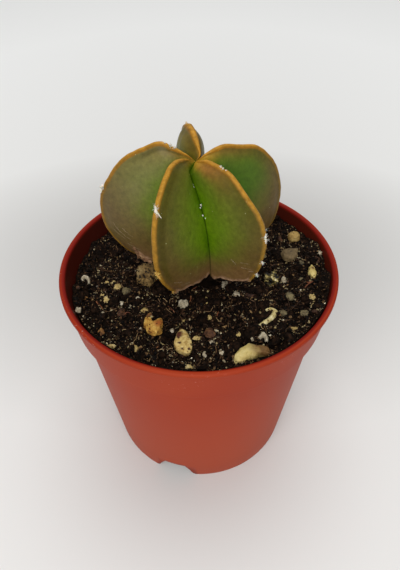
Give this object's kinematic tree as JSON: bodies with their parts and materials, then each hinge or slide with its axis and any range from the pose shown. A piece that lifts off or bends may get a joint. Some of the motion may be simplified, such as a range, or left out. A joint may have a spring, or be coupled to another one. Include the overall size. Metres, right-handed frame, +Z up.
{
  "type": "potted bishops cap cactus",
  "caption": "Young bishop's cap cactus with wing-like ribs, rooted in peat in a round tapered plastic nursery pot that stands on its foot.",
  "frame": {"origin": "centre of the pot's foot, on the surface that the pot stands on", "axes": "+Z up along the pot's axis, -Y towards the front, where the drain notch and the front groove of the plant are seen"},
  "size_m": [0.065, 0.065, 0.0898],
  "materials": {
    "pot_plastic": "satin terracotta-coloured polypropylene",
    "cactus_skin": "waxy plant skin, green in the grooves and orange on the crests",
    "peat": "moist dark peat, matte",
    "pumice": "porous, matte",
    "husk": "dry pale husk, silky",
    "bark": "dry golden brown bark",
    "perlite": "white expanded glass grain, matte"
  },
  "bodies": {
    "root": {"pot": "pot_plastic", "soil": "peat", "cactus_body": "cactus_skin", "pumice_pebble": "pumice", "heart_bark_chip": "bark", "cream_chip": "husk", "long_husk": "husk", "bent_husk": "husk", "golden_flake": "husk", "flat_tan_pebble": "pumice", "golden_pebble": "bark", "cream_husk": "husk", "perlite_front": "perlite", "perlite_left": "perlite", "perlite_right": "perlite"}
  },
  "joints": []
}
